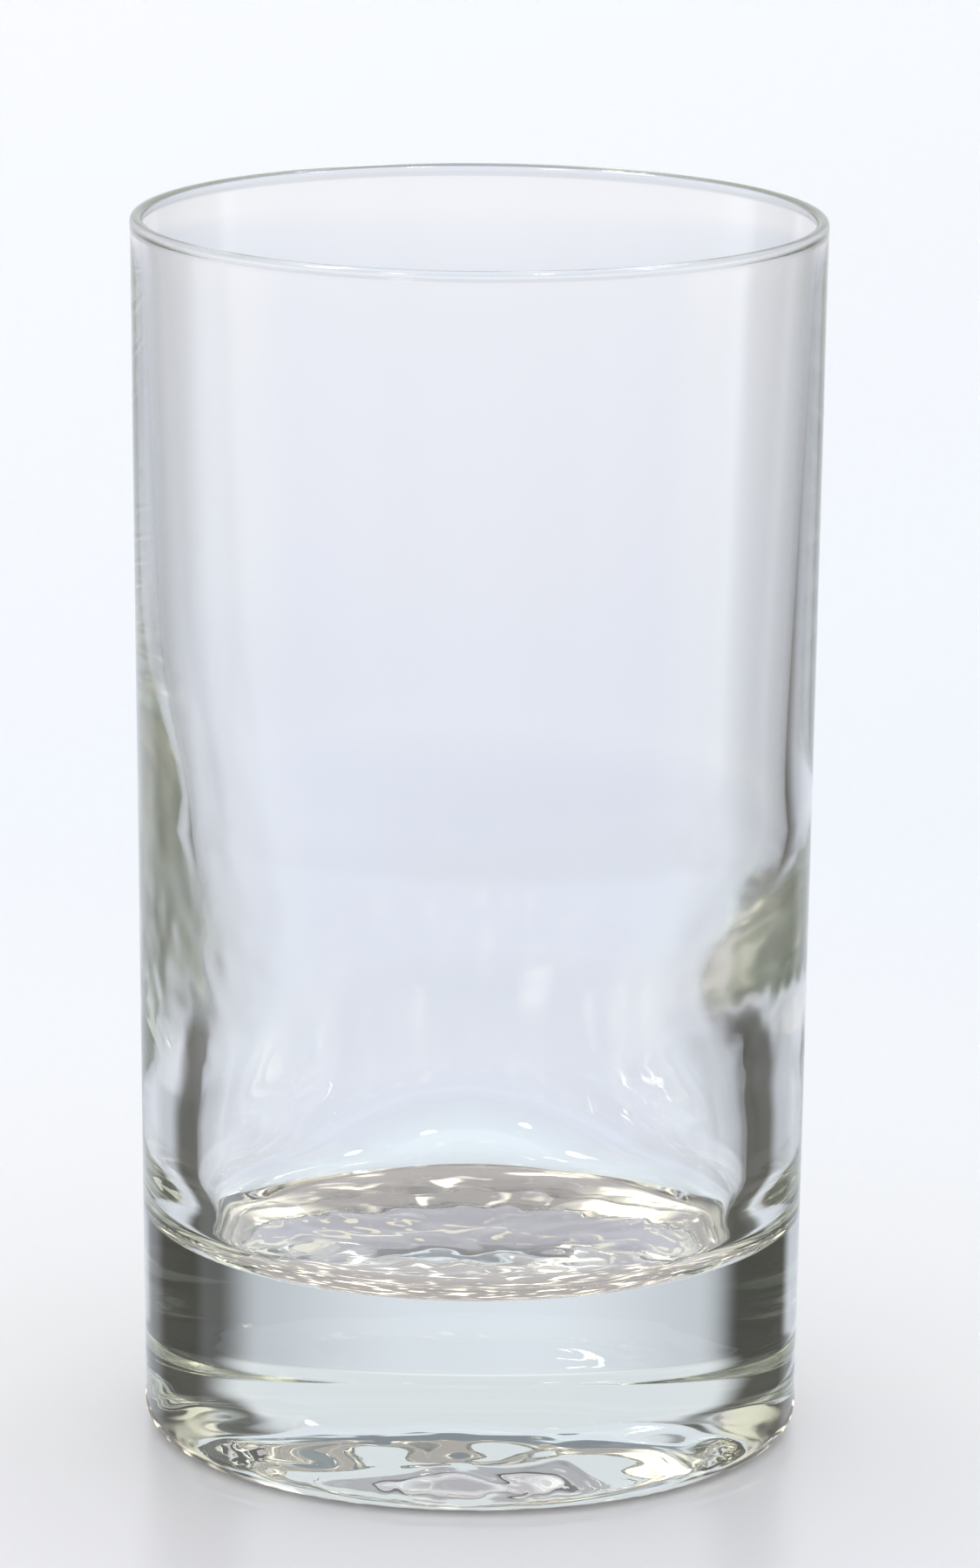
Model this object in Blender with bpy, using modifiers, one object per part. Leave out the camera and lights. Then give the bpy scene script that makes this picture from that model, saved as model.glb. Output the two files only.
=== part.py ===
"""A highball glass with a heavy base, in metres, standing on the plane z = 0 with its axis on Z.

The glass is clear throughout. Its four zones are modelled as four turned pieces that meet in flat
rings: the fire-polished rim, the blown side wall, the heavy base with the floor of the well, and
the foot ring that it stands on.
"""

import math

import bpy

# Overall sizes: the outside narrows by the taper from the rim down to the table
HEIGHT = 0.122
RIM_RADIUS = 0.034
TAPER = 0.0015

# Wall thickness at the rim, above the settle wave and below it
RIM_WALL = 0.0010
SHOULDER_WALL = 0.0027
LOWER_WALL = 0.0065

# The settle wave, where the inside of the wall swells towards the base
SETTLE_HEIGHT = 0.0495
SETTLE_LENGTH = 0.030

# The rounded bead of the rim, and the straight neck under it
BEAD_SWELL = 0.00006
RIM_NECK = 0.0012

# The well: how thick the base is under the edge of its floor, how far the floor is dished, its
# corner, and the wall that stands up round it
BASE_THICKNESS = 0.020
FLOOR_DISH = 0.0009
WELL_FILLET = 0.0035
WELL_UPSTAND = 0.002

# The underside: heel, foot ring and the dome inside the ring
HEEL_RADIUS = 0.0024
FOOT_HEIGHT = 0.0012
FOOT_LAND = 0.0018
FOOT_CHAMFER = 0.0003
PUNT_RISE = 0.0052

# Clearance between pieces that meet
SEAM_GAP = 0.0003

# Facets round the axis, and steps along the curved stretches of a profile
FACETS = 72
BEAD_STEPS = 5
WAVE_STEPS = 12
FLOOR_STEPS = 4
FILLET_STEPS = 5
HEEL_STEPS = 4
PUNT_STEPS = 8

# Radius that the straight outside would have at the table
BASE_RADIUS = RIM_RADIUS - TAPER

# Heights of the seams, each at the upper face of the lower piece
BEAD_RADIUS = RIM_WALL / 2 + BEAD_SWELL
FOOT_SEAM = FOOT_HEIGHT
BASE_SEAM = BASE_THICKNESS + WELL_FILLET + WELL_UPSTAND
RIM_SEAM = HEIGHT - 2 * BEAD_RADIUS - RIM_NECK - SEAM_GAP

# Colours of clear glass: almost white at the thin rim, faintly green where it is thick
THIN_GLASS = (0.95, 0.97, 0.97, 1.0)
THICK_GLASS = (0.88, 0.94, 0.92, 1.0)
GLASS_IOR = 1.52
POLISHED_ROUGHNESS = 0.01
STIPPLED_ROUGHNESS = 0.12


def blend(low, high, share):
    """Ease from one value to another along half a cosine wave."""
    share = min(max(share, 0.0), 1.0)
    return low + (high - low) * (1 - math.cos(math.pi * share)) / 2


def outer_radius(height):
    """Radius of the straight, slightly tapered outside."""
    return BASE_RADIUS + TAPER * height / HEIGHT


def wall_at(height):
    """Wall thickness: a slow thickening down from the rim, then the settle wave."""
    wave_top = SETTLE_HEIGHT + SETTLE_LENGTH / 2
    down = (RIM_SEAM - height) / (RIM_SEAM - wave_top)
    upper = RIM_WALL + (SHOULDER_WALL - RIM_WALL) * min(max(down, 0.0), 1.0)
    return blend(upper, LOWER_WALL, (wave_top - height) / SETTLE_LENGTH)


def inner_radius(height):
    """Radius of the inside at a height above the corner of the well."""
    return outer_radius(height) - wall_at(height)


def arc(centre, radius, start, end, steps):
    """Points on an arc in the plane of the profile, angles in degrees from +X."""
    points = []
    for step in range(steps + 1):
        angle = math.radians(start + (end - start) * step / steps)
        points.append((centre[0] + radius * math.cos(angle), centre[1] + radius * math.sin(angle)))
    return points


def outside(top, bottom):
    """The outer side from one height down to another, with the heel where it is reached."""
    points = [(outer_radius(top), top)] if top > HEEL_RADIUS else []
    if bottom >= HEEL_RADIUS:
        return points + [(outer_radius(bottom), bottom)]
    start = -math.degrees(math.asin(1 - min(top, HEEL_RADIUS) / HEEL_RADIUS))
    end = -math.degrees(math.asin(1 - bottom / HEEL_RADIUS))
    centre = (outer_radius(HEEL_RADIUS) - HEEL_RADIUS, HEEL_RADIUS)
    return points + arc(centre, HEEL_RADIUS, start, end, HEEL_STEPS)


def clear_glass(name, colour, roughness):
    """A clear glass with its own tint and polish."""
    material = bpy.data.materials.new(name)
    material.use_nodes = True
    shader = material.node_tree.nodes["Principled BSDF"]
    shader.inputs["Base Color"].default_value = colour
    shader.inputs["Metallic"].default_value = 0.0
    shader.inputs["Roughness"].default_value = roughness
    shader.inputs["IOR"].default_value = GLASS_IOR
    shader.inputs["Transmission Weight"].default_value = 1.0
    return material


def turned_piece(name, profile, closed, seat, material):
    """A piece turned round Z from a profile of radii and heights, with its origin at its seat."""
    count = len(profile)
    edges = [(i, (i + 1) % count) for i in range(count if closed else count - 1)]
    mesh = bpy.data.meshes.new(name)
    mesh.from_pydata([(radius, 0, height - seat) for radius, height in profile], edges, [])
    mesh.materials.append(material)
    piece = bpy.data.objects.new(name, mesh)
    piece.location.z = seat
    turn = piece.modifiers.new("turn", "SCREW")
    turn.axis = "Z"
    turn.angle = 2 * math.pi
    turn.steps = FACETS
    turn.render_steps = FACETS
    turn.use_merge_vertices = True
    turn.merge_threshold = 0.00001
    turn.use_smooth_shade = True
    piece.modifiers.new("flat_faces_stay_flat", "WEIGHTED_NORMAL")
    return piece


def rim():
    """The fire-polished rim: a small bead, flush outside and swollen inside, on a short neck."""
    seat = RIM_SEAM + SEAM_GAP
    centre = (outer_radius(HEIGHT) - BEAD_RADIUS, HEIGHT - BEAD_RADIUS)
    inner_foot = inner_radius(seat)
    under_bead = math.degrees(math.acos((centre[0] - inner_foot) / BEAD_RADIUS))
    inner_bead = arc(centre, BEAD_RADIUS, 180 + under_bead, 90, BEAD_STEPS)
    outer_bead = arc(centre, BEAD_RADIUS, 90, 0, BEAD_STEPS)
    profile = inner_bead[:-1] + outer_bead + [(outer_radius(seat), seat), (inner_foot, seat)]
    glass = clear_glass("rim_glass", THIN_GLASS, POLISHED_ROUGHNESS)
    return turned_piece("rim", profile, True, seat, glass)


def side_wall():
    """The blown wall: straight outside, thickening inside through the settle wave."""
    seat = BASE_SEAM + SEAM_GAP
    wave_top = SETTLE_HEIGHT + SETTLE_LENGTH / 2
    inside = [(inner_radius(seat), seat)]
    for step in range(WAVE_STEPS + 1):
        height = wave_top - SETTLE_LENGTH * (1 - step / WAVE_STEPS)
        inside.append((inner_radius(height), height))
    inside.append((inner_radius(RIM_SEAM), RIM_SEAM))
    profile = outside(RIM_SEAM, seat) + inside
    glass = clear_glass("wall_glass", THIN_GLASS, POLISHED_ROUGHNESS)
    return turned_piece("side_wall", profile, True, seat, glass)


def well_floor():
    """The dished floor and the corner of the well, from the axis out to the wall."""
    corner_height = BASE_THICKNESS + WELL_FILLET
    corner = (inner_radius(corner_height) - WELL_FILLET, corner_height)
    points = []
    for step in range(FLOOR_STEPS):
        share = step / FLOOR_STEPS
        points.append((corner[0] * share, BASE_THICKNESS - FLOOR_DISH * (1 - share ** 2)))
    slope = math.degrees(math.atan(2 * FLOOR_DISH / corner[0]))
    return points + arc(corner, WELL_FILLET, slope - 90, 0, FILLET_STEPS)


def dome(edge):
    """The hollow underside, from its edge inside the foot ring up to the axis."""
    radius = (edge ** 2 + PUNT_RISE ** 2) / (2 * PUNT_RISE)
    spread = math.degrees(math.asin(edge / radius))
    top = FOOT_CHAMFER + PUNT_RISE
    points = arc((0, top - radius), radius, 90 - spread, 90, PUNT_STEPS)
    return points[:-1] + [(0, top)]


def heavy_base():
    """The thick base: the well's floor and corner above, the heel and a dome below."""
    seat = FOOT_SEAM + SEAM_GAP
    edge = foot_inner_radius() - SEAM_GAP
    profile = well_floor() + [(inner_radius(BASE_SEAM), BASE_SEAM)] + outside(BASE_SEAM, seat)
    profile += [(edge, seat)] + dome(edge)
    glass = clear_glass("base_glass", THICK_GLASS, POLISHED_ROUGHNESS)
    return turned_piece("heavy_base", profile, False, seat, glass)


def foot_inner_radius():
    """Inner radius of the foot ring, which sits in a rebate of the base."""
    return outer_radius(HEEL_RADIUS) - HEEL_RADIUS - FOOT_LAND


def foot_ring():
    """The ring that the glass stands on: the lower part of the heel and a flat bearing land."""
    inner = foot_inner_radius()
    profile = outside(FOOT_HEIGHT, 0)
    profile += [(inner + FOOT_CHAMFER, 0), (inner, FOOT_CHAMFER), (inner, FOOT_HEIGHT)]
    glass = clear_glass("foot_glass", THICK_GLASS, STIPPLED_ROUGHNESS)
    return turned_piece("foot_ring", profile, True, 0, glass)


def main():
    for old in list(bpy.data.objects):
        bpy.data.objects.remove(old, do_unlink=True)
    pieces = bpy.data.collections.new("highball_glass")
    bpy.context.scene.collection.children.link(pieces)
    stand = bpy.data.objects.new("glass_axis", None)
    pieces.objects.link(stand)
    for piece in (rim(), side_wall(), heavy_base(), foot_ring()):
        pieces.objects.link(piece)
        piece.parent = stand


main()
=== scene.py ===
"""The clear highball glass: its finished glass body, and a plain pale studio to see it in."""

import math

import bpy
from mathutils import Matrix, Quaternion, Vector


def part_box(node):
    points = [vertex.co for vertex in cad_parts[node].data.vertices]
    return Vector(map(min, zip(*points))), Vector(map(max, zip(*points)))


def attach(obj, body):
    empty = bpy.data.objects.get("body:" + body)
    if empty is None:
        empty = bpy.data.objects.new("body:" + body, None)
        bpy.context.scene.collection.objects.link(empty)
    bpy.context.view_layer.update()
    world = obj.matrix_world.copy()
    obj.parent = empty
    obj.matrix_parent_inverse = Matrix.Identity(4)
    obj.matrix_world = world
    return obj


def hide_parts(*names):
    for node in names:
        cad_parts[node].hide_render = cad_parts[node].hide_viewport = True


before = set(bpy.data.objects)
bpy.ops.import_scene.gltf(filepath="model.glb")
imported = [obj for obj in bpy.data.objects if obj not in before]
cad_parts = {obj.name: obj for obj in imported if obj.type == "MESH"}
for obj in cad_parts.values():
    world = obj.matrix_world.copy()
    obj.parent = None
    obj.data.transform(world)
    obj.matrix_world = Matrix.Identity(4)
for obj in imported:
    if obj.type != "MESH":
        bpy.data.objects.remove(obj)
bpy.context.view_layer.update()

bl_info = {
    "name": "Highball glass",
    "version": (1, 0, 0),
    "blender": (4, 5, 0),
    "location": "3D View > Sidebar > Glass",
    "description": "Models a clear highball glass with a heavy base, and a pale studio for it",
    "category": "Object",
}

# Upper corners of two solids' boxes, which give the straight outside
RIM_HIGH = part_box("rim")[1]
BASE_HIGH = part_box("heavy_base")[1]
MM = 0.001

# Steps along each stretch of the profile, from the middle of the well's floor round to the dome
FLOOR_STEPS = 24
CORNER_STEPS = 12
LOWER_WALL_STEPS = 14
WAVE_STEPS = 32
UPPER_WALL_STEPS = 20
INNER_BEAD_STEPS = 10
OUTER_BEAD_STEPS = 8
OUTSIDE_STEPS = 24
HEEL_STEPS = 14
FOOT_STEPS = 4
DOME_STEPS = 36

# Rings this far from the rim and the heel keep the straight wall between them straight to the eye
RING_GAP = 0.3 * MM
# How far the inner side of the foot ring leans in, as a share of its height
FOOT_LEAN = 0.6
# Points of the turned mesh that are closer than this are one point
WELD = 0.005 * MM
# How far round from due right or left the unevenness of the wall spreads, in radians
SIDE_SPREAD = 0.8

# Widths of a smudge, of a line drawn in the wall, and of a fleck of light under the foot
SMUDGE_WIDTH = 14.3 * MM
LINE_WIDTH = 6.25 * MM
FLECK_WIDTH = 3.85 * MM

# The camera stands in front of the glass and a little above it, and leans by half a degree
CAMERA_PLACE = Vector((0, -0.7819, 0.2458))
CAMERA_AIM = Vector((0.00148, 0, 0.06525))
CAMERA_LEAN = math.radians(0.49)
CAMERA_LENS = 186.6
CAMERA_SENSOR = 36


def hex_colour(text):
    """An sRGB hex colour as linear red, green and blue."""
    parts = [int(text[i:i + 2], 16) / 255 for i in (1, 3, 5)]
    return [p / 12.92 if p <= 0.04045 else ((p + 0.055) / 1.055) ** 2.4 for p in parts]


WHITE = hex_colour("#FFFFFF")
BLACK = hex_colour("#000000")


def amount(name, description, default):
    """A plain number that the panel shows."""
    return bpy.props.FloatProperty(name=name, description=description, default=default)


def length(name, description, default):
    """A length that the panel shows in scene units."""
    return bpy.props.FloatProperty(name=name, description=description, default=default, unit="LENGTH")


def colour(name, description, default):
    """A colour that the panel shows as a swatch."""
    return bpy.props.FloatVectorProperty(
        name=name, description=description, default=hex_colour(default), size=3, subtype="COLOR",
        min=0, max=1)


class GlassShape(bpy.types.PropertyGroup):
    """Sizes of the glass that its box doesn't give."""

    rim_wall: length("Rim wall", "Wall thickness under the bead of the rim", 1.0 * MM)
    shoulder_wall: length("Shoulder wall", "Wall thickness just above the settle wave", 2.7 * MM)
    lower_wall: length("Lower wall", "Wall thickness below the settle wave", 6.5 * MM)
    bead_swell: length("Bead swell", "How far the bead of the rim swells inwards", 0.12 * MM)
    settle_height: length("Settle height", "Height of the middle of the settle wave", 49.5 * MM)
    settle_length: length("Settle length", "Height that the settle wave takes", 30 * MM)
    floor_dish: length("Floor dish", "How far the middle of the well's floor lies under its edge", 1.2 * MM)
    base_thickness: length("Base thickness", "Height of the floor of the well", 20 * MM)
    well_fillet: length("Well fillet", "Radius of the corner of the well", 3.5 * MM)
    heel_radius: length("Heel radius", "Radius of the heel under the outside", 2.4 * MM)
    foot_land: length("Foot land", "Width of the flat ring that the glass stands on", 1.5 * MM)
    foot_height: length("Foot height", "Height of the foot ring under the base", 0.3 * MM)
    punt_rise: length("Punt rise", "Rise of the dome inside the foot ring", 5.2 * MM)
    bulge: length("Bulge", "How far the settle wave bulges on its right", 1.3 * MM)
    climb: length("Climb", "How far the settle wave is drawn up on its left", 1.15 * MM)
    lean: length("Lean", "How much thinner the lower wall is at both sides", 0.55 * MM)
    drop: length("Drop", "How far the settle wave is drawn down on its right", 0.4 * MM)
    lumps: length("Lumps", "Depth of the lumps in the settle wave", 0.14 * MM)
    floor_ripple: length("Floor ripple", "Depth of the ripples in the floor of the well", 0.26 * MM)
    punt_ripple: length("Punt ripple", "Depth of the ripples in the dome underneath", 0.4 * MM)
    stipple: length("Stipple", "Depth of the stipple on the bearing ring", 0.3 * MM)
    turn_steps: bpy.props.IntProperty(name="Turn steps", description="Facets round the axis", default=384)


class GlassFinish(bpy.types.PropertyGroup):
    """Colours and polish of the glass."""

    tint: colour("Tint", "Colour that thick glass turns to", "#E8F5E5")
    density: amount("Density", "Strength of the tint per metre", 5.5)
    polish: amount("Polish", "Roughness of the clean glass", 0)
    smudge: amount("Smudge", "Roughness of the smudges", 0.05)
    wave_haze: amount("Wave haze", "Roughness of the settle wave", 0.14)
    rim_haze: amount("Rim haze", "Roughness of the rim", 0.16)
    stipple_haze: amount("Stipple haze", "Roughness of the bearing ring", 0.3)
    relief: length("Relief", "Depth of the lines drawn in the wall", 0.02 * MM)
    ior: amount("IOR", "Refractive index of soda-lime glass", 1.52)


class StudioLook(bpy.types.PropertyGroup):
    """Colours of the floor and of the light."""

    # Painted light and shade: the floor's colours from front to back stand in for how the light falls on it
    near_floor: colour("Near floor", "Floor in front of the glass", "#F0EFF6")
    mid_floor: colour("Middle floor", "Floor beside the glass", "#FEFEFF")
    back_floor: colour("Back floor", "Floor behind the glass", "#F3F8FF")
    far_floor: colour("Far floor", "Floor far behind the glass", "#FDFEFF")
    # Painted light: a cooler tint towards the right, as if lit from a window on the left
    painted_cool_side: colour("Cool side", "Tint of the floor towards its right", "#F7FAFD")
    # Painted shade and painted light under the foot: the first colour glows in place of the shade under the
    # glass, the second in place of flecks of light that the glass gathers, and also colours the sparks in
    # the surroundings
    painted_shade_under_foot: colour("Under foot", "Floor in the shade under the glass", "#B4ADA8")
    fleck: colour("Fleck", "Warm light gathered under the foot and in the well", "#FFF7E2")
    backdrop: colour("Backdrop", "Light that surrounds the glass", "#FAFBFF")
    low_backdrop: colour("Low backdrop", "Floor behind the glass, seen through it", "#E7ECF6")
    flag: colour("Flag", "Dark cards beside the glass, which draw its edges", "#4B4B47")
    soft_flag: colour("Soft flag", "The cards where the glass mirrors them", "#5A5A54")
    room: colour("Room", "Dim floor behind the camera", "#C0C6EC")
    dark_room: colour("Dark room", "Dark room behind the camera", "#4A4844")
    window: colour("Window", "Warm panels at both sides of the dark room", "#FFF9E6")
    piped: colour("Piped", "Light that has run far inside the wall", "#E8DCE4")
    cool_floor: colour("Cool floor", "Floor near the glass, seen through it", "#EEF8FF")
    wall: colour("Wall", "Pale wall behind the glass", "#E4E8EE")
    ceiling: colour("Ceiling", "Dim room above the pale wall", "#BBB9C0")
    roof: colour("Roof", "Dark roof straight above", "#6A665F")
    # Painted shade: the tabletop close to the glass and at its foot, as seen through the glass
    below: colour("Below", "Floor close to the glass, seen steeply through it", "#8A9097")
    edge: colour("Edge", "Floor at the foot of the glass, seen straight down through it", "#55524E")
    key: colour("Key", "Warm lamps, most of them on the left", "#FFF3DC")
    fill: colour("Fill", "White lamps on the right", "#FFFFFF")
    key_strength: amount("Key strength", "Glare of the warm lamps", 70)
    fill_strength: amount("Fill strength", "Glare of the white lamps", 30)


def turned_outside(height):
    """Radius of the straight outside, through the rim's and the base's widest points."""
    run = (RIM_HIGH.x - BASE_HIGH.x) / (RIM_HIGH.z - BASE_HIGH.z)
    return RIM_HIGH.x + run * (height - RIM_HIGH.z)


def ease(low, high, share):
    """Half a cosine wave from one value to another."""
    share = min(max(share, 0), 1)
    return low + (high - low) * (1 - math.cos(math.pi * share)) / 2


def hill(value, middle, width):
    """One at the middle, falling smoothly to nothing at about twice the width."""
    return math.exp(-((value - middle) / width) ** 2)


def arc(centre, radius, start, end, steps):
    """Points on an arc in the plane of the profile, angles in degrees from +X."""
    angles = [math.radians(start + (end - start) * i / steps) for i in range(steps + 1)]
    return [(centre[0] + radius * math.cos(a), centre[1] + radius * math.sin(a)) for a in angles]


def stretch(curve, start, end, steps):
    """Points of a radius that depends on height, from one height to another."""
    heights = [start + (end - start) * i / steps for i in range(steps + 1)]
    return [(curve(height), height) for height in heights]


def glass_profile(shape):
    """Half the section of the glass: out over the well's floor, up, over the rim, down and under."""
    bead = shape.rim_wall / 2 + shape.bead_swell
    top = RIM_HIGH.z
    neck = top - 2 * bead
    wave_top = shape.settle_height + shape.settle_length / 2
    wave_foot = wave_top - shape.settle_length

    def inside(height):
        """Radius of the inside: the wall thickens slowly from the rim, then through the settle wave."""
        down = min(max((neck - height) / (neck - wave_top), 0), 1)
        upper = shape.rim_wall + (shape.shoulder_wall - shape.rim_wall) * down
        wall = ease(upper, shape.lower_wall, (wave_top - height) / shape.settle_length)
        return turned_outside(height) - wall

    # The dished floor, the rounded corner and the wall of the well
    corner_top = shape.base_thickness + shape.well_fillet
    corner = (inside(corner_top) - shape.well_fillet, corner_top)
    dip = math.degrees(math.atan(2 * shape.floor_dish / corner[0]))
    profile = []
    for i in range(FLOOR_STEPS):
        share = i / FLOOR_STEPS
        profile.append((corner[0] * share, shape.base_thickness - shape.floor_dish * (1 - share ** 2)))
    profile += arc(corner, shape.well_fillet, dip - 90, 0, CORNER_STEPS)
    profile += stretch(inside, corner_top, wave_foot, LOWER_WALL_STEPS)[1:]
    profile += stretch(inside, wave_foot, wave_top, WAVE_STEPS)[1:]
    profile += stretch(inside, wave_top, neck, UPPER_WALL_STEPS)[1:]

    # The bead of the rim
    centre = (turned_outside(top) - bead, top - bead)
    under = math.degrees(math.acos(min((centre[0] - inside(neck)) / bead, 1)))
    profile += arc(centre, bead, 180 + under, 90, INNER_BEAD_STEPS)
    profile += arc(centre, bead, 90, 0, OUTER_BEAD_STEPS)[1:]

    # The straight outside and the heel
    heel = (turned_outside(shape.heel_radius) - shape.heel_radius, shape.heel_radius)
    profile += stretch(turned_outside, top - bead - RING_GAP, shape.heel_radius + RING_GAP, OUTSIDE_STEPS)
    profile += arc(heel, shape.heel_radius, 0, -90, HEEL_STEPS)

    # The flat foot ring, its inner side and the dome
    inner = heel[0] - shape.foot_land
    shares = [i / FOOT_STEPS for i in range(1, FOOT_STEPS + 1)]
    profile += [(heel[0] - shape.foot_land * share, 0) for share in shares]
    slant = FOOT_LEAN * shape.foot_height
    profile += [(inner - slant * share, shape.foot_height * share) for share in shares]
    edge = profile[-1][0]
    dome = (edge ** 2 + shape.punt_rise ** 2) / (2 * shape.punt_rise)
    spread = math.degrees(math.asin(edge / dome))
    dome_top = shape.foot_height + shape.punt_rise
    profile += arc((0, dome_top - dome), dome, 90 - spread, 90, DOME_STEPS)[1:-1]
    profile.append((0, dome_top))
    return profile


def turn_profile(name, profile, steps):
    """A closed mesh turned round Z from a profile that starts and ends on the axis."""
    bpy.ops.object.select_all(action="DESELECT")
    start = profile[0]
    bpy.ops.mesh.primitive_plane_add(size=MM, location=(start[0], 0, start[1]))
    piece = bpy.context.object
    piece.name = name
    piece.data.name = name
    bpy.ops.object.transform_apply(location=True, rotation=True, scale=True)
    bpy.ops.object.mode_set(mode="EDIT")
    bpy.ops.mesh.select_mode(type="VERT")
    bpy.ops.mesh.select_all(action="SELECT")
    bpy.ops.mesh.merge(type="CENTER")
    for here, there in zip(profile, profile[1:]):
        step = (there[0] - here[0], 0, there[1] - here[1])
        bpy.ops.mesh.extrude_vertices_move(TRANSFORM_OT_translate={"value": step})
    bpy.ops.mesh.select_all(action="SELECT")
    bpy.ops.mesh.spin(steps=steps, angle=2 * math.pi, center=(0, 0, 0), axis=(0, 0, 1))
    bpy.ops.mesh.select_all(action="SELECT")
    bpy.ops.mesh.remove_doubles(threshold=WELD)
    bpy.ops.mesh.normals_make_consistent(inside=False)
    bpy.ops.object.mode_set(mode="OBJECT")
    bpy.ops.object.shade_smooth()
    return piece


def displace(body, name, weigh, depth, middle=0, noise_size=None):
    """Push the surface along its normals by a weight of place, with the noise of an uneven mould."""
    group = body.vertex_groups.new(name=name)
    least = 0.001
    for vertex in body.data.vertices:
        weight = weigh(vertex.co)
        if weight > least:
            group.add([vertex.index], min(weight, 1), "REPLACE")
    bpy.ops.object.select_all(action="DESELECT")
    body.select_set(True)
    bpy.context.view_layer.objects.active = body
    bpy.ops.object.modifier_add(type="DISPLACE")
    modifier = body.modifiers[-1]
    modifier.vertex_group = name
    modifier.strength = depth
    modifier.mid_level = middle
    if noise_size:
        texture = bpy.data.textures.new(name, "CLOUDS")
        texture.noise_scale = noise_size
        texture.noise_depth = 0
        modifier.texture = texture
        modifier.texture_coords = "LOCAL"
    bpy.ops.object.modifier_apply(modifier=modifier.name)
    body.vertex_groups.remove(body.vertex_groups[name])


def make_uneven(body, shape):
    """The small unevenness of a glass that was blown and pressed hot."""
    floor = shape.base_thickness
    corner_top = floor + shape.well_fillet
    wave = shape.settle_height

    def on_inside(place):
        """Whether a place is on the inside of the wall, above the corner of the well."""
        inner = turned_outside(place.z) - shape.rim_wall / 2
        return place.z > corner_top and math.hypot(place.x, place.y) < inner

    def side(place, towards):
        """How near a place on the inside is to the right, with towards 1, or the left, with -1."""
        return hill(math.atan2(place.y, towards * place.x), 0, SIDE_SPREAD) if on_inside(place) else 0

    def both_sides(place):
        """How near a place on the inside is to the right or the left."""
        return max(side(place, 1), side(place, -1))

    def under_wave(place):
        """The lower wall at both sides, fading out into the settle wave and into the corner."""
        below = ease(0, 1, (wave + 3.5 * MM - place.z) / (15 * MM))
        return both_sides(place) * below * ease(0, 1, (place.z - corner_top) / (5 * MM))

    def in_wave(place):
        """The settle wave, mostly at its sides, with a little at the front and the back."""
        sides = max(both_sides(place), 0.15)
        return sides * hill(place.z, wave + 0.5 * MM, 8 * MM) if on_inside(place) else 0

    def well_floor(place):
        """The floor of the well, fading out before its corner."""
        radius = math.hypot(place.x, place.y)
        flat = abs(place.z - floor) < 2 * MM
        return min(max((22.5 * MM - radius) / (6 * MM), 0), 1) if flat else 0

    def dome(place):
        """The dome underneath, most of all two thirds of the way out."""
        radius = math.hypot(place.x, place.y)
        return hill(radius, 20 * MM, 12 * MM) if place.z < floor / 2 and radius < 27 * MM else 0

    def foot(place):
        """The bearing ring, fading out up the heel and into the dome."""
        radius = math.hypot(place.x, place.y)
        return hill(radius, 28.5 * MM, 2.6 * MM) * ease(1, 0, place.z / (1.6 * MM))

    # Swellings and hollows of the inside: the side, with 1 for the right and -1 for the left, the height
    # over the middle of the settle wave, the spread up and down, and the depth
    for name, towards, rise, spread, depth in (
            ("bulge", 1, -1.5 * MM, 6 * MM, shape.bulge),
            ("thin_right", 1, 7.5 * MM, 7 * MM, -shape.drop),
            ("thick_left", -1, 11.5 * MM, 11 * MM, shape.climb)):
        displace(body, name, lambda place: side(place, towards) * hill(place.z, wave + rise, spread), depth)
    displace(body, "thin_sides", under_wave, -shape.lean)
    displace(body, "lumps", in_wave, shape.lumps, middle=0.5, noise_size=2.6 * MM)
    displace(body, "floor_ripple", well_floor, shape.floor_ripple, middle=0.5, noise_size=3 * MM)
    displace(body, "punt_ripple", dome, shape.punt_ripple, middle=0.5, noise_size=7 * MM)
    displace(body, "stipple", foot, shape.stipple, middle=1, noise_size=1.6 * MM)


def add_node(tree, kind, settings=None, links=None):
    """A node with its settings, and with its inputs set or linked by name or number."""
    node = tree.nodes.new(kind)
    for name, value in (settings or {}).items():
        setattr(node, name, value)
    for name, value in (links or {}).items():
        socket = node.inputs[name]
        if isinstance(value, bpy.types.NodeSocket):
            tree.links.new(value, socket)
        else:
            socket.default_value = value
    return node


def share_of(tree, *cases):
    """How far any of the cases holds: the largest of them, each the product of its conditions.

    A condition is a share, or a value with the place where it starts to count and where it counts fully.
    """
    largest = None
    for case in cases:
        product = None
        for condition in case:
            if isinstance(condition, tuple):
                value, start, full = condition
                condition = add_node(tree, "ShaderNodeMapRange", {"interpolation_type": "SMOOTHSTEP"}, {
                    "Value": value, "From Min": start, "From Max": full}).outputs["Result"]
            if product is not None:
                condition = add_node(tree, "ShaderNodeMath", {"operation": "MULTIPLY"}, {
                    0: product, 1: condition}).outputs["Value"]
            product = condition
        if largest is not None:
            product = add_node(tree, "ShaderNodeMath", {"operation": "MAXIMUM"}, {
                0: largest, 1: product}).outputs["Value"]
        largest = product
    return largest


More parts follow.
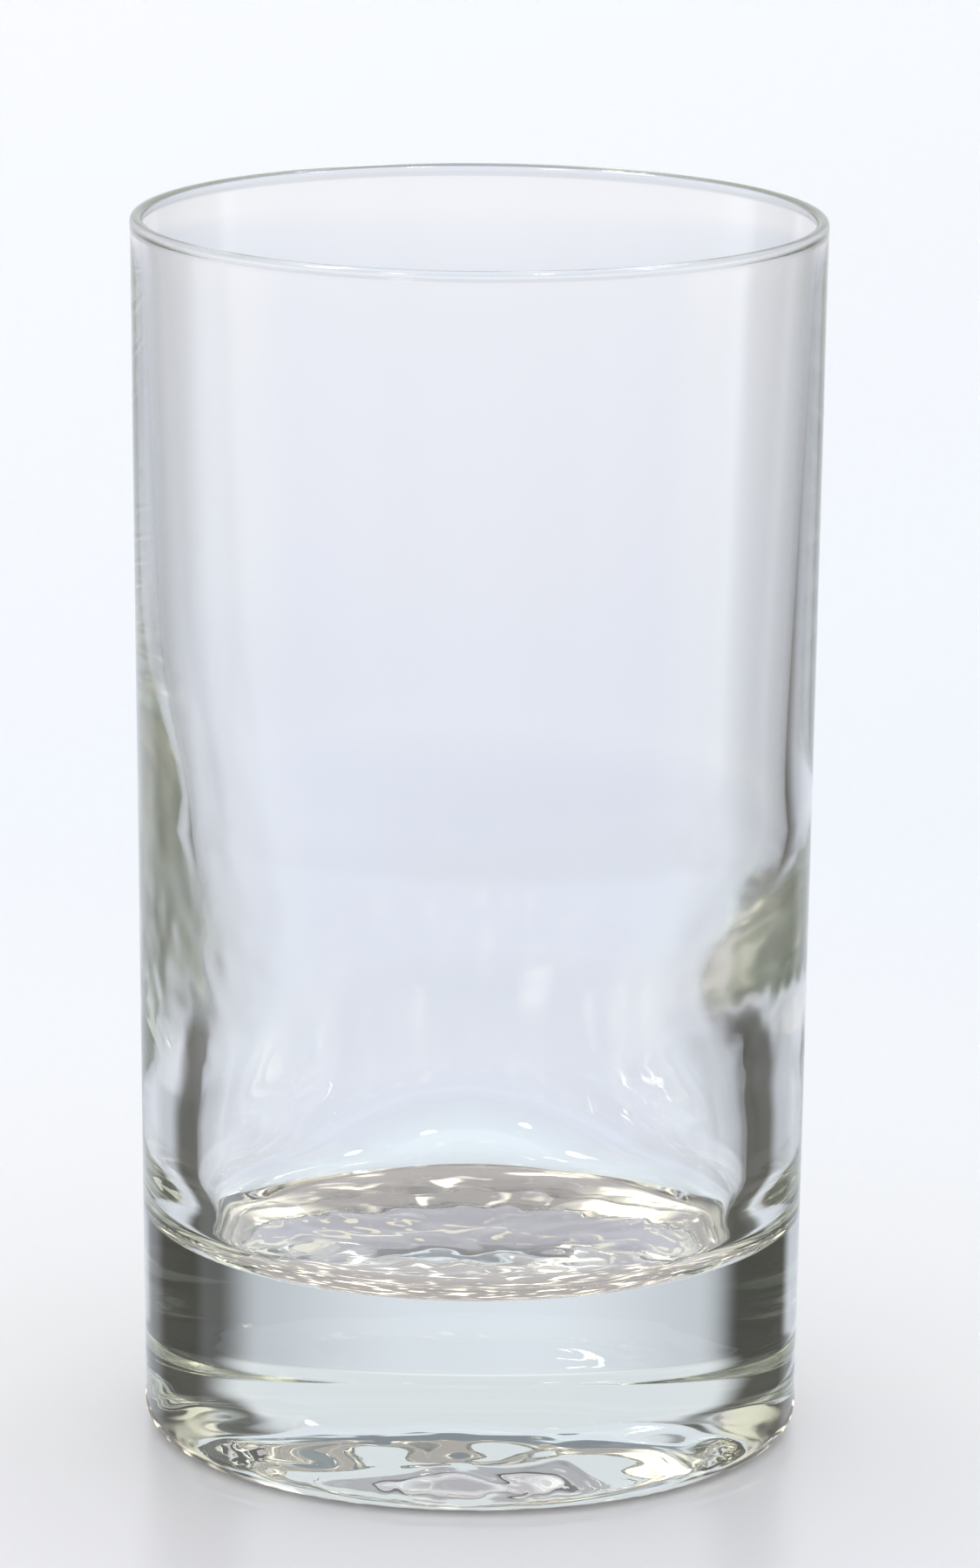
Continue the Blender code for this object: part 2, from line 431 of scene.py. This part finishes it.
def clear_soda_lime_glass(finish):
    """Clear, fire-polished soda-lime glass: colourless when thin, faintly green when thick, smudged."""
    material = bpy.data.materials.new("clear_soda_lime_glass")
    material.use_nodes = True
    tree = material.node_tree
    shader = tree.nodes["Principled BSDF"]
    output = tree.nodes["Material Output"]
    place = add_node(tree, "ShaderNodeTexCoord").outputs["Object"]
    height = add_node(tree, "ShaderNodeSeparateXYZ", links={"Vector": place}).outputs["Z"]
    across = add_node(tree, "ShaderNodeVectorMath", {"operation": "MULTIPLY"}, {0: place, 1: (1, 1, 0)})
    radius = add_node(tree, "ShaderNodeVectorMath", {"operation": "LENGTH"}, {
        0: across.outputs["Vector"]}).outputs["Value"]

    # Smudges of handling, about a fingertip wide
    marks = add_node(tree, "ShaderNodeTexNoise", links={
        "Vector": place, "Scale": 1 / SMUDGE_WIDTH, "Detail": 3}).outputs["Fac"]
    smudges = [(marks, 0.5, 0.75), finish.smudge]
    # The settle wave cooled unevenly and is less bright than the rest
    wave = [(height, 40 * MM, 47 * MM), (height, 64 * MM, 57 * MM), (radius, 31.8 * MM, 31.2 * MM),
            finish.wave_haze]
    # The bearing ring is stippled by its mould
    ring = [(height, 0.8 * MM, 0.2 * MM), (radius, 26 * MM, 27 * MM), finish.stipple_haze]
    # The rim was melted round by a flame and is softer to the eye than the wall
    lip = [(height, RIM_HIGH.z - 1.6 * MM, RIM_HIGH.z - 1.2 * MM), finish.rim_haze]
    rough = share_of(tree, [finish.polish], smudges, wave, ring, lip)

    # Faint lines drawn down the wall as the glass was blown
    drawn = add_node(tree, "ShaderNodeMapping", {"vector_type": "POINT"}, {
        "Vector": place, "Scale": (1, 1, 0.12)})
    lines = add_node(tree, "ShaderNodeTexNoise", links={
        "Vector": drawn.outputs["Vector"], "Scale": 1 / LINE_WIDTH, "Detail": 1})
    relief = add_node(tree, "ShaderNodeBump", links={
        "Height": lines.outputs["Fac"], "Strength": 0.25, "Distance": finish.relief})

    shader.inputs["Base Color"].default_value = (*WHITE, 1)
    shader.inputs["IOR"].default_value = finish.ior
    shader.inputs["Transmission Weight"].default_value = 1
    tree.links.new(rough, shader.inputs["Roughness"])
    tree.links.new(relief.outputs["Normal"], shader.inputs["Normal"])
    # The tint deepens with the way that light takes through the glass
    depth = add_node(tree, "ShaderNodeVolumeAbsorption", links={
        "Color": (*finish.tint, 1), "Density": finish.density})
    tree.links.new(depth.outputs["Volume"], output.inputs["Volume"])
    return material


class GLASS_OT_body(bpy.types.Operator):
    """Model the finished glass in place of its solids"""

    bl_idname = "glass.body"
    bl_label = "Glass body"

    def execute(self, context):
        scene = context.scene
        profile = glass_profile(scene.glass_shape)
        body = turn_profile("glass_body", profile, scene.glass_shape.turn_steps)
        make_uneven(body, scene.glass_shape)
        body.data.materials.append(clear_soda_lime_glass(scene.glass_finish))
        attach(body, "root")
        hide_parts("rim", "side_wall", "heavy_base", "foot_ring")
        return {"FINISHED"}


def pale_tabletop(look):
    """A smooth pale tabletop that keeps shadows and a faint gloss, with painted light and shade in its
    colour.
    """
    material = bpy.data.materials.new("pale_tabletop")
    material.use_nodes = True
    tree = material.node_tree
    shader = tree.nodes["Principled BSDF"]
    place = add_node(tree, "ShaderNodeTexCoord")
    split = add_node(tree, "ShaderNodeSeparateXYZ", links={"Vector": place.outputs["Object"]})

    # Painted light and shade: greyer in front, white beside the glass, a little darker behind and white far
    # back. Where each colour lies, in metres behind the glass
    stops = (
        (-0.1, look.near_floor), (0.012, look.mid_floor), (0.26, look.back_floor), (1.5, look.far_floor))
    start = stops[0][0]
    end = stops[-1][0]
    depth = add_node(tree, "ShaderNodeMapRange", links={
        "Value": split.outputs["Y"], "From Min": start, "From Max": end})
    ramp = add_node(tree, "ShaderNodeValToRGB", links={"Fac": depth.outputs["Result"]})
    ramp.color_ramp.elements[0].color = (*stops[0][1], 1)
    ramp.color_ramp.elements[1].color = (*stops[-1][1], 1)
    for metres, shade in stops[1:-1]:
        ramp.color_ramp.elements.new((metres - start) / (end - start)).color = (*shade, 1)

    # Painted light: the right of the tabletop is tinted a little cooler, as if a window on the left lit it
    side = add_node(tree, "ShaderNodeMapRange", links={
        "Value": split.outputs["X"], "From Min": -0.1, "From Max": 0.25})
    cooler = add_node(tree, "ShaderNodeMix", {"data_type": "RGBA", "blend_type": "MULTIPLY"}, {
        0: side.outputs["Result"], 6: ramp.outputs["Color"], 7: (*look.painted_cool_side, 1)})
    tree.links.new(cooler.outputs[2], shader.inputs["Base Color"])
    shader.inputs["Roughness"].default_value = 0.25
    shader.inputs["Specular IOR Level"].default_value = 0.35
    return material


def painted_glow_under_glass(look):
    """The tabletop under the foot as painted shade and light: it glows dim in place of the shade under the
    glass, and bright in flecks in place of the light that the glass gathers.
    """
    material = bpy.data.materials.new("tabletop_painted_glow")
    material.use_nodes = True
    tree = material.node_tree
    shader = tree.nodes["Principled BSDF"]
    place = add_node(tree, "ShaderNodeTexCoord").outputs["Object"]
    noise = add_node(tree, "ShaderNodeTexNoise", links={
        "Vector": place, "Scale": 1 / FLECK_WIDTH, "Detail": 1})
    flecks = add_node(tree, "ShaderNodeMapRange", links={
        "Value": noise.outputs["Fac"], "From Min": 0.56, "From Max": 0.68}).outputs["Result"]

    # A larger painted patch of light at either side, with its middle and its brightness
    for middle, bright in (((17 * MM, 24 * MM, 0), 1), ((-21 * MM, 21 * MM, 0), 0.6)):
        away = add_node(tree, "ShaderNodeVectorMath", {"operation": "DISTANCE"}, {0: place, 1: middle})
        patch = add_node(tree, "ShaderNodeMapRange", links={
            "Value": away.outputs["Value"], "From Min": 3.5 * MM, "From Max": 8.5 * MM,
            "To Min": bright, "To Max": 0})
        flecks = add_node(tree, "ShaderNodeMath", {"operation": "MAXIMUM"}, {
            0: flecks, 1: patch.outputs["Result"]}).outputs["Value"]

    # Painted shade glows where there are no flecks, painted light where there are
    glow = add_node(tree, "ShaderNodeMix", {"data_type": "RGBA"}, {
        0: flecks, 6: (*look.painted_shade_under_foot, 1), 7: (*look.fleck, 1)})
    strength = add_node(tree, "ShaderNodeMapRange", links={"Value": flecks, "To Min": 1, "To Max": 2.6})
    shader.inputs["Base Color"].default_value = (*BLACK, 1)
    shader.inputs["Specular IOR Level"].default_value = 0
    tree.links.new(strength.outputs["Result"], shader.inputs["Emission Strength"])
    tree.links.new(glow.outputs[2], shader.inputs["Emission Color"])
    material.cycles.emission_sampling = "NONE"
    return material


def studio_light(look):
    """A white studio, in which the glass bends and mirrors dark cards, a dim room and small lamps."""
    world = bpy.data.worlds.new("studio")
    bpy.context.scene.world = world
    world.use_nodes = True
    tree = world.node_tree
    background = tree.nodes["Background"]

    # Where a ray goes, in degrees: turned to the right of straight back, aside to either side, lifted up
    way = add_node(tree, "ShaderNodeTexCoord").outputs["Generated"]
    split = add_node(tree, "ShaderNodeSeparateXYZ", links={"Vector": way}).outputs
    bearing = add_node(tree, "ShaderNodeMath", {"operation": "ARCTAN2"}, {0: split["X"], 1: split["Y"]})
    slope = add_node(tree, "ShaderNodeMath", {"operation": "ARCSINE"}, {0: split["Z"]})
    turn = add_node(tree, "ShaderNodeMath", {"operation": "MULTIPLY"}, {
        0: bearing.outputs["Value"], 1: math.degrees(1)}).outputs["Value"]
    lift = add_node(tree, "ShaderNodeMath", {"operation": "MULTIPLY"}, {
        0: slope.outputs["Value"], 1: math.degrees(1)}).outputs["Value"]
    aside = add_node(tree, "ShaderNodeMath", {"operation": "ABSOLUTE"}, {0: turn}).outputs["Value"]

    # What has happened to the ray: the glass has mirrored it, or it has crossed the hollow of the glass
    ray = add_node(tree, "ShaderNodeLightPath").outputs
    mirrors = ray["Glossy Depth"]
    just_mirrored = ray["Is Reflection Ray"]
    mirrored = share_of(tree, [(mirrors, 0.4, 0.6)])
    straight = share_of(tree, [(mirrors, 0.6, 0.4)])
    crossed = share_of(tree, [(ray["Transmission Depth"], 2.4, 2.6)])
    uncrossed = share_of(tree, [(ray["Transmission Depth"], 2.6, 2.4)])
    in_well = share_of(tree, [mirrored, crossed])

    # Dark cards at both sides, with lower ones for the rays that go down through the base
    right = share_of(tree, [(turn, 29, 40), (turn, 84, 74)])
    cards = share_of(tree, [(turn, -74, -65), (turn, -33, -45)], [right])
    level = share_of(tree, [(lift, -21, -19), (lift, 55, 40)])
    low_left = share_of(tree, [straight, (turn, -92, -86), (lift, -52, -46), (lift, -24, -27)])
    dark = share_of(
        tree, [cards, level], [cards, mirrored, (lift, -52, -46), (lift, 44, 34)],
        [low_left, (turn, -57, -64)], [low_left, (turn, -36, -46), 0.35],
        [straight, right, (lift, -52, -46), (lift, -19, -21)])

    # Small bright things overhead, each a few degrees wide
    sparks = add_node(tree, "ShaderNodeTexNoise", links={
        "Vector": way, "Scale": 11, "Detail": 1}).outputs["Fac"]

    # Colours laid one over another, each with the cases in which a ray meets it
    layers = (
        # The tabletop ends in the bright backdrop, which darkens towards the cards
        (look.backdrop, [crossed, (lift, -18, -9)], [(lift, -10.8, -9.6)]),
        (BLACK, [level, (aside, 80, 60), (turn, 6, 36), 0.32],
         [level, (aside, 80, 60), (turn, -6, -36), 0.26]),
        (BLACK, [level, (turn, -12, 24), 0.06]),
        # Wall, ceiling and roof, with bright sparks where the well mirrors the ceiling
        (look.wall, [uncrossed, (lift, -8.6, -7)], [(lift, 6, 16)]),
        (look.ceiling, [(lift, 44, 50)], [in_well, (lift, 14, 22)]),
        (look.fleck, [in_well, (sparks, 0.6, 0.64), (lift, 12, 20)]),
        (look.roof, [(lift, 64, 76)]),
        # The tabletop near the glass as the glass shows it, with painted shade that is grey close to the
        # foot and dark at it, and a dark card low down that draws the rim
        (look.cool_floor, [(lift, -28, -40)]),
        (look.below, [mirrored, (lift, -35, -40), (lift, -60, -54), (aside, 36, 26)]),
        (look.edge, [(lift, -68, -76)]),
        (look.flag, [uncrossed, straight, (lift, -70, -62), (lift, -28, -36), 0.6]),
        # The room behind the camera
        (look.room, [mirrored, (aside, 92, 112)]),
        (look.dark_room, [mirrored, (aside, 78, 92), uncrossed, (just_mirrored, 1, 0), (lift, -23, -18)],
         [mirrored, (aside, 78, 92), (lift, -2, 6)]),
        (look.window, [mirrored, (aside, 75, 80), (aside, 116, 110), (lift, 11, 14), (lift, 40, 34)]),
        # The dark cards
        (look.flag, [straight, dark]),
        (look.soft_flag, [mirrored, dark]),
        # Light that was mirrored many times inside the wall is blurred to one pale tone
        (look.piped, [(mirrors, 2.4, 2.6), (lift, -18, -23), 0.65],
         [(mirrors, 5.4, 5.6), (turn, -95, -75), (turn, 25, 5), 0.95], [(mirrors, 5.4, 5.6), 0.1]),
        # A ray that is mirrored off the glass and leaves it upwards meets the bright backdrop
        (look.backdrop, [just_mirrored, (lift, -1, 0.5)]),
    )
    tone = (*look.low_backdrop, 1)
    for shade, *cases in layers:
        tone = add_node(tree, "ShaderNodeMix", {"data_type": "RGBA"}, {
            0: share_of(tree, *cases), 6: tone, 7: (*shade, 1)}).outputs[2]

    # Small lamps: degrees to the right and up, radius in degrees, and light
    warm = [look.key_strength * part for part in look.key]
    white = [look.fill_strength * part for part in look.fill]
    for turned, lifted, radius, light in (
            (-108, 51, 4, warm), (-70, 66, 2.5, warm), (150, 56, 2.5, warm), (-150, 40, 2.5, warm),
            (60, 60, 2.5, white), (110, 44, 2.5, white)):
        flat = math.cos(math.radians(lifted))
        aim = (flat * math.sin(math.radians(turned)), flat * math.cos(math.radians(turned)),
               math.sin(math.radians(lifted)))
        near = add_node(tree, "ShaderNodeVectorMath", {"operation": "DOT_PRODUCT"}, {0: way, 1: aim})
        start = math.cos(math.radians(1.3 * radius))
        full = math.cos(math.radians(radius))
        # No lamp shines on the tabletop, neither straight nor through the glass
        glow = share_of(tree, [(near.outputs["Value"], start, full), (ray["Diffuse Depth"], 0.6, 0.4)])
        tone = add_node(tree, "ShaderNodeMix", {"data_type": "RGBA", "blend_type": "ADD"}, {
            0: glow, 6: tone, 7: (*light, 1)}).outputs[2]

    # The tabletop is lit by plain white, and the camera sees the plain backdrop
    bent = share_of(tree, [ray["Is Transmission Ray"]], [ray["Is Glossy Ray"]])
    lit = add_node(tree, "ShaderNodeMix", {"data_type": "RGBA"}, {0: bent, 6: (*WHITE, 1), 7: tone})
    seen = add_node(tree, "ShaderNodeMix", {"data_type": "RGBA"}, {
        0: ray["Is Camera Ray"], 6: lit.outputs[2], 7: (*look.backdrop, 1)})
    tree.links.new(seen.outputs[2], background.inputs["Color"])
    background.inputs["Strength"].default_value = 1
    world.cycles.sampling_method = "NONE"


def stage_floor(look):
    """A round tabletop, and just under it the spot below the foot, which glows with painted shade and
    light, seen only through the glass.
    """
    discs = []
    # Each disc's radius, and how far it lies under the foot
    for name, radius, depth in (
            ("tabletop_under_foot", BASE_HIGH.x + 2.5 * MM, 0.2 * MM), ("tabletop", 13, 0.1 * MM)):
        bpy.ops.object.select_all(action="DESELECT")
        bpy.ops.mesh.primitive_circle_add(
            vertices=128, radius=radius, fill_type="NGON", location=(0, 0, -depth))
        bpy.ops.object.transform_apply()
        bpy.context.object.name = name
        discs.append(bpy.context.object)
    spot, floor = discs
    spot.data.materials.append(painted_glow_under_glass(look))
    spot.visible_camera = False
    spot.visible_diffuse = False
    spot.visible_shadow = False
    floor.data.materials.append(pale_tabletop(look))
    floor.visible_transmission = False
    floor.visible_glossy = False


def stage_camera():
    """A long lens from slightly above, at the angle of the photograph."""
    data = bpy.data.cameras.new("camera")
    data.lens = CAMERA_LENS
    data.sensor_width = CAMERA_SENSOR
    data.clip_end = 100
    camera = bpy.data.objects.new("camera", data)
    bpy.context.scene.collection.objects.link(camera)
    camera.location = CAMERA_PLACE
    level = (CAMERA_AIM - CAMERA_PLACE).to_track_quat("-Z", "Y")
    camera.rotation_mode = "QUATERNION"
    camera.rotation_quaternion = level @ Quaternion((0, 0, 1), CAMERA_LEAN)
    bpy.context.scene.camera = camera


class GLASS_OT_stage(bpy.types.Operator):
    """Set the pale tabletop, the studio light and the camera"""

    bl_idname = "glass.stage"
    bl_label = "Studio"

    def execute(self, context):
        look = context.scene.studio_look
        stage_floor(look)
        studio_light(look)
        stage_camera()
        context.scene.view_settings.view_transform = "Standard"
        # Light is mirrored many times inside thick glass before it comes out
        cycles = context.scene.cycles
        cycles.max_bounces = 64
        cycles.glossy_bounces = 48
        cycles.transmission_bounces = 48
        return {"FINISHED"}


class GLASS_PT_panel(bpy.types.Panel):
    """Lists the steps and the values that they use"""

    bl_idname = "GLASS_PT_panel"
    bl_label = "Highball glass"
    bl_space_type = "VIEW_3D"
    bl_region_type = "UI"
    bl_category = "Glass"

    def draw(self, context):
        scene = context.scene
        for operator in ("glass.body", "glass.stage"):
            self.layout.operator(operator)
        for group in (scene.glass_shape, scene.glass_finish, scene.studio_look):
            for name in type(group).__annotations__:
                self.layout.prop(group, name)


CLASSES = (GlassShape, GlassFinish, StudioLook, GLASS_OT_body, GLASS_OT_stage, GLASS_PT_panel)


def register():
    for item in CLASSES:
        bpy.utils.register_class(item)
    bpy.types.Scene.glass_shape = bpy.props.PointerProperty(type=GlassShape)
    bpy.types.Scene.glass_finish = bpy.props.PointerProperty(type=GlassFinish)
    bpy.types.Scene.studio_look = bpy.props.PointerProperty(type=StudioLook)


def unregister():
    del bpy.types.Scene.studio_look
    del bpy.types.Scene.glass_finish
    del bpy.types.Scene.glass_shape
    for item in reversed(CLASSES):
        bpy.utils.unregister_class(item)


def main():
    register()
    bpy.ops.glass.body()
    bpy.ops.glass.stage()


if __name__ == "__main__":
    main()
